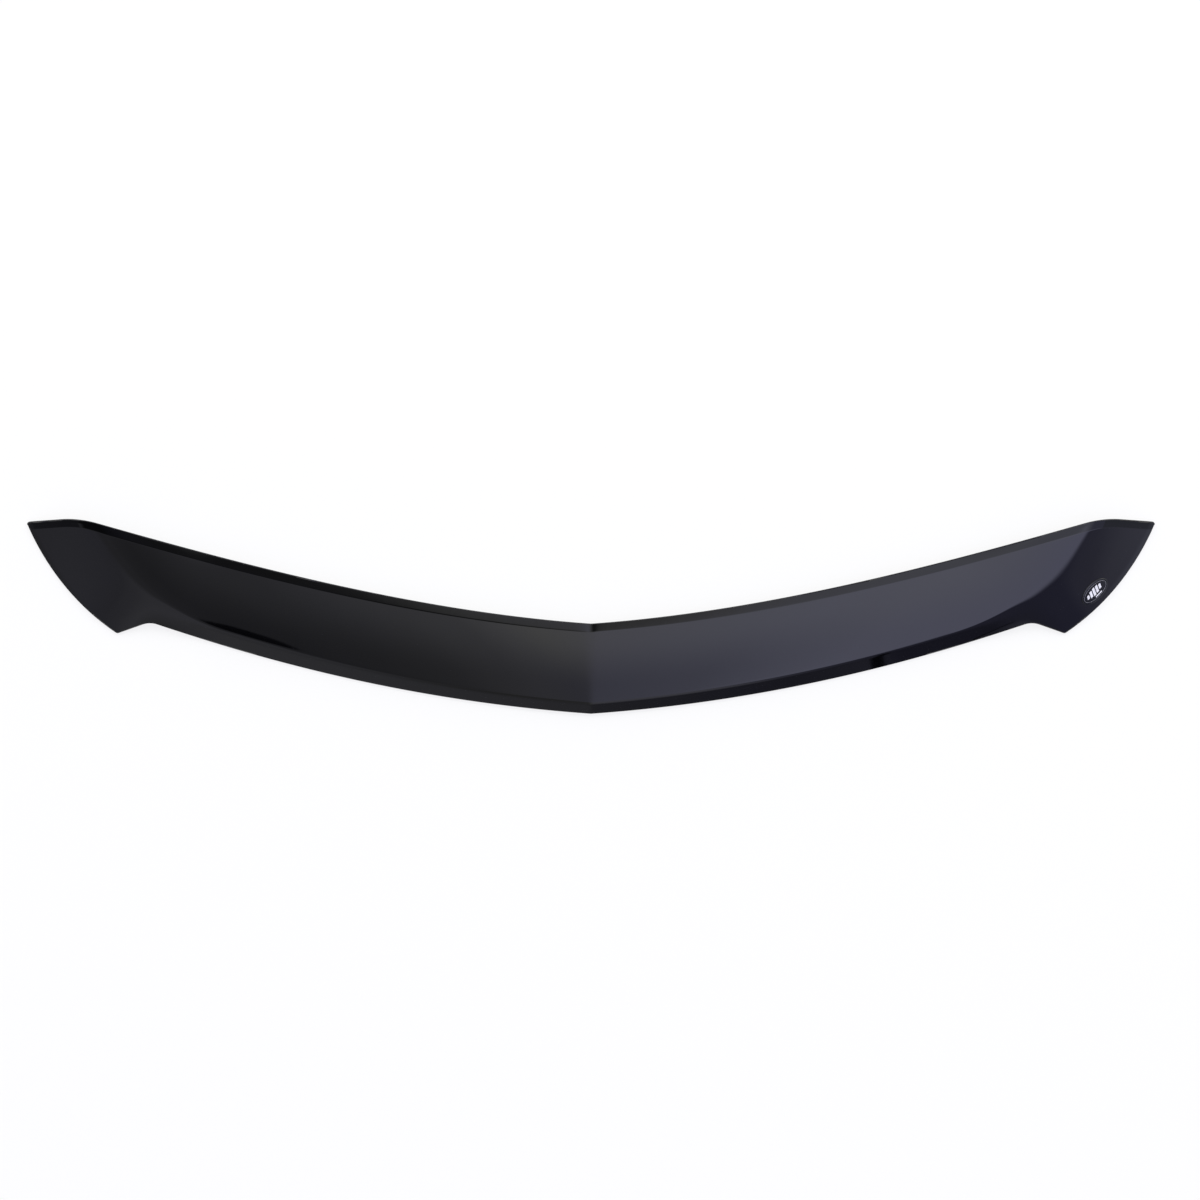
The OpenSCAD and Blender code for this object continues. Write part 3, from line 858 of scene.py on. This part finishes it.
class HOOD_OT_badge(bpy.types.Operator):
    """Makes the oval badge on the right lobe, with a plain printed ornament"""

    bl_idname = "hood.badge"
    bl_label = "Make the badge"

    # Shares of the field at which its rings lie, and the ring that closes the back
    FIELD_RINGS, BACK_RING = (0.12, 0.3, 0.5, 0.7, 0.85, 1), 0.3
    RIM_STEPS = 6
    DOME, PRINT_RISE = 0.15 * MM, 0.06 * MM
    RING_IN, RING_W = 0.9 * MM, 0.4 * MM
    # Slanted bars whose ends follow a lozenge, over one flat bar, in mm along and across
    BAR_AT = (-11.4, -6.2, -1.0, 4.2, 9.4)
    BAR_LENGTH = (4.0, 7.0, 8.8, 8.0, 5.2)
    BAR_W, BAR_SLANT, BAR_RAISE = 3.7, 0.45, 0.9
    FLAT_BAR = ((-4.6, -6.3), (6.4, -6.3), (7.4, -5.0), (-3.6, -5.0))

    def bars(self):
        """The corners of each bar of the ornament, in mm."""
        shapes = [self.FLAT_BAR]
        half = self.BAR_W / 2
        for middle, length in zip(self.BAR_AT, self.BAR_LENGTH):
            low, high = self.BAR_RAISE - length / 2, self.BAR_RAISE + length / 2
            lean = self.BAR_SLANT * length / 2
            shapes.append((
                (middle - half - lean, low), (middle + half - lean, low),
                (middle + half + lean, high), (middle - half + lean, high),
            ))
        return shapes

    def make_oval(self, seat, trim):
        """The badge itself, with a domed field, a rounded rim and a flat back."""
        gap, rim = trim.badge_gap, trim.badge_rim
        top = gap + trim.badge_t
        rings = [seat.oval(s, rim, top - self.DOME * s**2) for s in self.FIELD_RINGS]
        for a in np.linspace(0, math.pi / 2, self.RIM_STEPS + 1)[1:]:
            fall = (trim.badge_t - self.DOME) / 2 * (1 - math.cos(a))
            rings.append(seat.oval(1, rim * (1 - math.sin(a)), top - self.DOME - fall))
        rings.append(seat.oval(1, 0, gap))
        rings.append(seat.oval(self.BACK_RING, rim, gap))
        loops = numbered(rings)
        faces = [bands_between(loops), [loops[0]], [loops[-1][::-1]]]
        return new_piece("badge_oval", np.concatenate(rings), faces)

    def make_ring(self, seat, inset, foot, top):
        """The raised ring that is printed just inside the rim."""
        inner = inset + self.RING_W
        rings = [
            seat.oval(1, inset, foot), seat.oval(1, inset, top),
            seat.oval(1, inner, top), seat.oval(1, inner, foot),
        ]
        loops = numbered(rings)
        faces = bands_between(np.concatenate([loops, loops[:1]]))
        return new_piece("badge_ring", np.concatenate(rings), [faces[:, [0, 3, 2, 1]]])

    def make_mark(self, seat, foot, top):
        """The raised bars that are printed in the middle."""
        points, faces, start = [], [], 0
        for shape in self.bars():
            a, b = np.array(shape).T * MM
            n = len(shape)
            points += [seat.at(a, b, foot), seat.at(a, b, top)]
            low = start + np.arange(n)
            after = np.roll(low, -1)
            walls = np.stack([low, after, after + n, low + n], axis=-1)
            faces += [walls, [low[::-1]], [low + n]]
            start += 2 * n
        mark = new_piece("badge_mark", np.concatenate(points), faces)
        mark.data.shade_flat()
        return mark

    def execute(self, context):
        trim, finish = context.scene.hood_trim, context.scene.hood_finish
        seat = BadgeSeat(sheet_of(context))
        oval = self.make_oval(seat, trim)
        finish_piece(oval, badge_material(finish), "badge_plastic", "badge")
        foot = trim.badge_gap + trim.badge_t / 2
        top = trim.badge_gap + trim.badge_t + self.PRINT_RISE
        ring = self.make_ring(seat, trim.badge_rim + self.RING_IN, foot, top - self.DOME)
        finish_piece(ring, print_material("ring_print", finish.badge_ring), "badge_plastic")
        mark = self.make_mark(seat, foot, top)
        finish_piece(mark, print_material("mark_print", finish.badge_mark), "badge_plastic")
        return {"FINISHED"}


class HOOD_OT_stage(bpy.types.Operator):
    """Makes the floor, the light and the camera"""

    bl_idname = "hood.stage"
    bl_label = "Make the stage"

    FLOOR_R, FLOOR_AROUND, FLOOR_ROUGHNESS = 40.0, 96, 0.95
    # Share of plain white in the floor, where the camera or the gloss sees it
    FLOOR_WHITE = 0.8
    # Place of the right lamp, which the left one mirrors
    LAMP_AT, LAMP_SIZE, LAMP_WATTS = (2.6, 2.4, 3.2), (2.0, 1.4), 20
    SENSOR, CLIP_END = 36.0, 100
    # The ramps below hold no more than 1, which stands for this strength
    FULL = 2.4
    DARK = (0, 0, 0, 1)
    # Bearing from straight in front, in degrees, with the colour of the walls there
    LOW_WALLS = (
        (-180, 0.75), (-104, 0.75), (-88, 0.10, 0.115), (-60, 0.14, 0.155),
        (-32, 0.235, 0.25), (-14, 0.185, 0.205), (-8, 0.165, 0.185), (0, 0.125, 0.14),
        (6, 0.10, 0.12), (11, 0.07, 0.10), (15, 0.07, 0.10), (16.2, 0.095, 0.135),
        (17, 0.09, 0.13), (18, 0.05, 0.085), (22, 0.055, 0.09), (27, 0.08, 0.14),
        (44, 0.33, 0.34, 0.46), (62, 0.37, 0.38, 0.50), (86, 0.22, 0.23, 0.29), (104, 0.75),
        (180, 0.75),
    )
    HIGH_WALLS = (
        (-180, 0.75), (-104, 0.75), (-88, 0.035, 0.045), (-79, 0.05, 0.06),
        (-72, 0.16, 0.19), (-62, 0.19, 0.225), (-45, 0.17, 0.205), (-38, 0.16, 0.19),
        (-33, 0.22, 0.25), (-26, 0.25, 0.285), (-17, 0.20, 0.22), (-10, 0.13), (-5, 0.17),
        (0, 0.30), (6, 0.38, 0.45), (11, 0.38, 0.46), (14, 0.20, 0.28), (18, 0.10, 0.16),
        (31, 0.105, 0.185), (38, 0.12, 0.21), (44, 0.17, 0.265), (52, 0.185, 0.275),
        (58, 0.25, 0.345), (68, 0.24, 0.245, 0.33), (86, 0.15, 0.16, 0.20), (104, 0.75),
        (180, 0.75),
    )
    # Heights of the direction between which the low walls turn into the high ones
    LOW_Z, HIGH_Z = 0.30, 0.76
    # A dark bar low on the right wall: its bearing at its foot and at its top, half its
    # width and its soft edge in degrees, where it starts to lean, and where it ends
    BAR_FOOT, BAR_HEAD, BAR_HALF_W, BAR_EDGE = 17.2, 17.85, 0.28, 0.05
    BAR_LEAN_Z, BAR_TOP, BAR_END = 0.2, 0.6, 0.66
    # Half the ceiling's sides, its height, and how far its colours run to each side
    CEILING_R, CEILING_H, CEILING_SPAN = 5.2, 7.0, 3.0
    # The ceiling fades out between two sizes of an ellipse, right of the middle
    FADE_AT, FADE_SIZE = (0.6, 0), (5.4, 3.1)
    FADE_START, FADE_END = 0.93, 1.15
    # A dark gap in it: its place, half its size across and along the car, and its edge
    GAP_AT, GAP_SIZE, GAP_EDGE = (-1.5, -2.31), (0.19, 0.17), (1.0, 0.8)
    # Metres along the car, between which each row of colours takes over from the last
    NEAR_Y, MIDDLE_Y, REAR_Y = (-2.2, -0.8), (-0.7, -0.2), (0.3, 1.0)
    # Metres across the car, with the colour of the ceiling there
    CEILING_FRONT = (
        (-1.9, 0.135, 0.15), (-1.55, 0.09, 0.10), (-1.3, 0.09, 0.10), (-1.0, 0.12, 0.13),
        (-0.75, 0.16, 0.175), (-0.63, 0.20, 0.22), (-0.48, 0.24, 0.275),
        (-0.36, 0.235, 0.29), (0.0, 0.31, 0.40), (0.34, 0.375, 0.38, 0.51),
        (0.65, 0.44, 0.445, 0.605), (0.95, 0.595, 0.605, 0.82), (1.15, 0.67, 0.68, 0.93),
        (2.0, 0.68, 0.69, 0.98),
    )
    CEILING_NEAR = (
        (-1.4, 0.185, 0.205), (-1.1, 0.185, 0.205), (-0.95, 0.215, 0.24),
        (-0.65, 0.305, 0.33), (-0.54, 0.325, 0.35), (-0.44, 0.43, 0.455), (-0.34, 0.52),
        (-0.2, 0.555, 0.60), (0.0, 0.58, 0.655), (0.23, 0.61, 0.72),
        (0.5, 0.67, 0.68, 0.84), (0.8, 0.745, 0.755, 0.97), (1.1, 0.78, 0.79, 1.0),
        (2.0, 0.78, 0.79, 1.0), (2.45, 0.66, 0.67, 0.87), (2.85, 0.30, 0.305, 0.43),
        (3.0, 0.25, 0.255, 0.375),
    )
    CEILING_MIDDLE = (
        (-0.5, 0.012), (-0.3, 0.06), (-0.2, 0.12), (-0.08, 0.40), (0.05, 0.60, 0.68),
        (0.2, 0.66, 0.67, 0.80), (1.5, 0.72, 0.73, 0.95), (1.9, 0.56, 0.57, 0.73),
        (2.45, 0.38, 0.385, 0.51), (2.8, 0.28, 0.285, 0.41), (3.0, 0.25, 0.255, 0.375),
    )
    CEILING_REAR = (
        (-1.0, 0.01), (-0.8, 0.03, 0.04), (-0.6, 0.045, 0.055), (-0.3, 0.04), (-0.2, 0.045),
        (-0.14, 0.075), (-0.08, 0.18), (-0.04, 0.255), (0.0, 0.33, 0.355),
        (0.04, 0.40, 0.45), (0.12, 0.455, 0.46, 0.54), (0.25, 0.50, 0.51, 0.60),
        (0.6, 0.45, 0.46, 0.56), (1.8, 0.49, 0.505, 0.64), (2.4, 0.40, 0.405, 0.52),
        (3.0, 0.28, 0.285, 0.41),
    )
    # Width that the photograph spans at the sheet, and the point in its middle
    SPAN = 1.549
    AIM = (0.0117, 0.0215, 0.02)

    @staticmethod
    def scaled(stops, span):
        """Stops whose places run from 0 to 1 over a span with its middle at zero."""
        return [(place / span + 0.5, *colour) for place, *colour in stops]

    @staticmethod
    def away(t, x, y, at, half):
        """Distance of x and y from a point, with an ellipse about it as the unit."""
        across = t.math("DIVIDE", t.math("SUBTRACT", x, at[0]), half[0])
        along = t.math("DIVIDE", t.math("SUBTRACT", y, at[1]), half[1])
        squares = t.math("ADD", t.math("POWER", across, 2.0), t.math("POWER", along, 2.0))
        return t.math("SQRT", squares)

    def floor(self, studio):
        """A round floor that is nearly white where it is seen, and keeps the shadow."""
        turns = np.linspace(0, 2 * math.pi, self.FLOOR_AROUND, endpoint=False)
        points = np.stack([np.cos(turns), np.sin(turns), 0 * turns], axis=-1) * self.FLOOR_R
        floor = new_piece("floor", points, [[range(len(points))]])
        material, t, shader, surface = new_material("studio_floor")
        shader.inputs["Base Color"].default_value = rgba(studio.floor)
        shader.inputs["Roughness"].default_value = self.FLOOR_ROUGHNESS
        shader.inputs["Specular IOR Level"].default_value = 0.0
        path = t.add("ShaderNodeLightPath").outputs
        seen = t.math("MAXIMUM", path["Is Camera Ray"], path["Is Glossy Ray"])
        seen = t.math("MAXIMUM", seen, path["Is Transmission Ray"])
        share = t.math("MULTIPLY", seen, self.FLOOR_WHITE)
        white = t.add("ShaderNodeEmission")
        t.blend(share, shader.outputs["BSDF"], white.outputs["Emission"], surface)
        floor.data.materials.append(material)

    def world(self):
        """Walls round the sheet: their colours run with the bearing, low down and high up."""
        world = bpy.data.worlds.new("studio")
        bpy.context.scene.world = world
        world.use_nodes = True
        t = Tree(world.node_tree)
        back = world.node_tree.nodes["Background"]
        way = t.add("ShaderNodeSeparateXYZ")
        t.feed(way.inputs[0], t.add("ShaderNodeTexCoord").outputs["Generated"])
        x, y, z = way.outputs
        bearing = t.math("ARCTAN2", x, t.math("MULTIPLY", y, -1.0))
        place = t.math("ADD", t.math("DIVIDE", bearing, 2 * math.pi), 0.5)
        low = t.stops(place, self.scaled(self.LOW_WALLS, 360))
        high = t.stops(place, self.scaled(self.HIGH_WALLS, 360))
        walls = t.mix(t.ramp(z, self.LOW_Z, self.HIGH_Z), low, high)
        middle = t.ramp(z, self.BAR_LEAN_Z, self.BAR_TOP, self.BAR_FOOT, self.BAR_HEAD)
        off = t.math("ABSOLUTE", t.math("SUBTRACT", t.math("DEGREES", bearing), middle))
        bar = t.ramp(off, self.BAR_HALF_W + self.BAR_EDGE, self.BAR_HALF_W - self.BAR_EDGE)
        bar = t.math("MULTIPLY", bar, t.ramp(z, self.BAR_END, self.BAR_TOP))
        walls = t.mix(bar, walls, self.DARK)
        t.feed(back.inputs["Color"], walls)
        t.feed(back.inputs["Strength"], self.FULL)

    def ceiling(self):
        """A large glowing ceiling, dim on the left and bright and bluish on the right."""
        r, h = self.CEILING_R, self.CEILING_H
        corners = np.array([(-r, -r, h), (-r, r, h), (r, r, h), (r, -r, h)])
        ceiling = new_piece("ceiling", corners, [[range(4)]])
        material, t, shader, surface = new_material("studio_ceiling")
        material.node_tree.nodes.remove(shader)
        place = t.add("ShaderNodeSeparateXYZ")
        t.feed(place.inputs[0], t.add("ShaderNodeTexCoord").outputs["Object"])
        x, y, _ = place.outputs
        span = 2 * self.CEILING_SPAN
        share = t.math("ADD", t.math("DIVIDE", x, span), 0.5)
        light = t.stops(share, self.scaled(self.CEILING_FRONT, span))
        for colours, (start, end) in (
            (self.CEILING_NEAR, self.NEAR_Y), (self.CEILING_MIDDLE, self.MIDDLE_Y),
            (self.CEILING_REAR, self.REAR_Y),
        ):
            row = t.stops(share, self.scaled(colours, span))
            light = t.mix(t.ramp(y, start, end), light, row)
        in_gap = t.ramp(self.away(t, x, y, self.GAP_AT, self.GAP_SIZE), *self.GAP_EDGE)
        light = t.mix(in_gap, light, self.DARK)
        glow = t.add("ShaderNodeEmission")
        t.feed(glow.inputs["Color"], light)
        glow.inputs["Strength"].default_value = self.FULL
        clear = t.add("ShaderNodeBsdfTransparent")
        out = self.away(t, x, y, self.FADE_AT, self.FADE_SIZE)
        faded = t.ramp(out, self.FADE_START, self.FADE_END)
        t.blend(faded, glow.outputs[0], clear.outputs[0], surface)
        ceiling.data.materials.append(material)

    def lamps(self, studio):
        """Two large soft lamps, behind and to the sides."""
        x, y, z = self.LAMP_AT
        for name, place in (("lamp_left", (-x, y, z)), ("lamp_right", (x, y, z))):
            lamp = bpy.data.lights.new(name, "AREA")
            lamp.shape = "RECTANGLE"
            lamp.size, lamp.size_y = self.LAMP_SIZE
            lamp.energy = self.LAMP_WATTS * studio.lamp
            holder = bpy.data.objects.new(name, lamp)
            holder.location = place
            aim = np.array(self.AIM) - np.array(place)
            holder.rotation_euler = Vector(aim).to_track_quat("-Z", "Y").to_euler()
            bpy.context.scene.collection.objects.link(holder)

    def camera(self, studio):
        """Straight above the sheet, with the nose at the bottom of the picture."""
        camera = bpy.data.cameras.new("camera")
        camera.sensor_width = self.SENSOR
        camera.lens = self.SENSOR * (studio.camera_h - self.AIM[2]) / self.SPAN
        camera.clip_end = self.CLIP_END
        holder = bpy.data.objects.new("camera", camera)
        holder.location = (self.AIM[0], self.AIM[1], studio.camera_h)
        bpy.context.scene.collection.objects.link(holder)
        bpy.context.scene.camera = holder

    def execute(self, context):
        studio = context.scene.hood_studio
        context.scene.view_settings.view_transform = "Standard"
        self.floor(studio)
        self.ceiling()
        self.world()
        self.lamps(studio)
        self.camera(studio)
        return {"FINISHED"}


class HOOD_PT_panel(bpy.types.Panel):
    """Lists the sizes and the steps that make the hood protector"""

    bl_idname = "HOOD_PT_panel"
    bl_label = "Hood protector"
    bl_space_type = "VIEW_3D"
    bl_region_type = "UI"
    bl_category = "Hood protector"

    def draw(self, context):
        for operator in OPERATORS:
            self.layout.operator(operator.bl_idname)
        for name, group in GROUPS.items():
            box = self.layout.box()
            for key in group.__annotations__:
                box.prop(getattr(context.scene, name), key)


GROUPS = {
    "hood_outline": HoodOutline,
    "hood_form": HoodForm,
    "hood_trim": HoodTrim,
    "hood_finish": HoodFinish,
    "hood_studio": HoodStudio,
}
OPERATORS = (HOOD_OT_stage, HOOD_OT_shield, HOOD_OT_tape, HOOD_OT_badge)
CLASSES = (*GROUPS.values(), *OPERATORS, HOOD_PT_panel)


def register():
    for cls in CLASSES:
        bpy.utils.register_class(cls)
    for name, group in GROUPS.items():
        setattr(bpy.types.Scene, name, PointerProperty(type=group))


def unregister():
    for name in GROUPS:
        delattr(bpy.types.Scene, name)
    for cls in reversed(CLASSES):
        bpy.utils.unregister_class(cls)


def main():
    register()
    bpy.ops.hood.stage()
    bpy.ops.hood.shield()
    bpy.ops.hood.tape()
    bpy.ops.hood.badge()


if __name__ == "__main__":
    main()
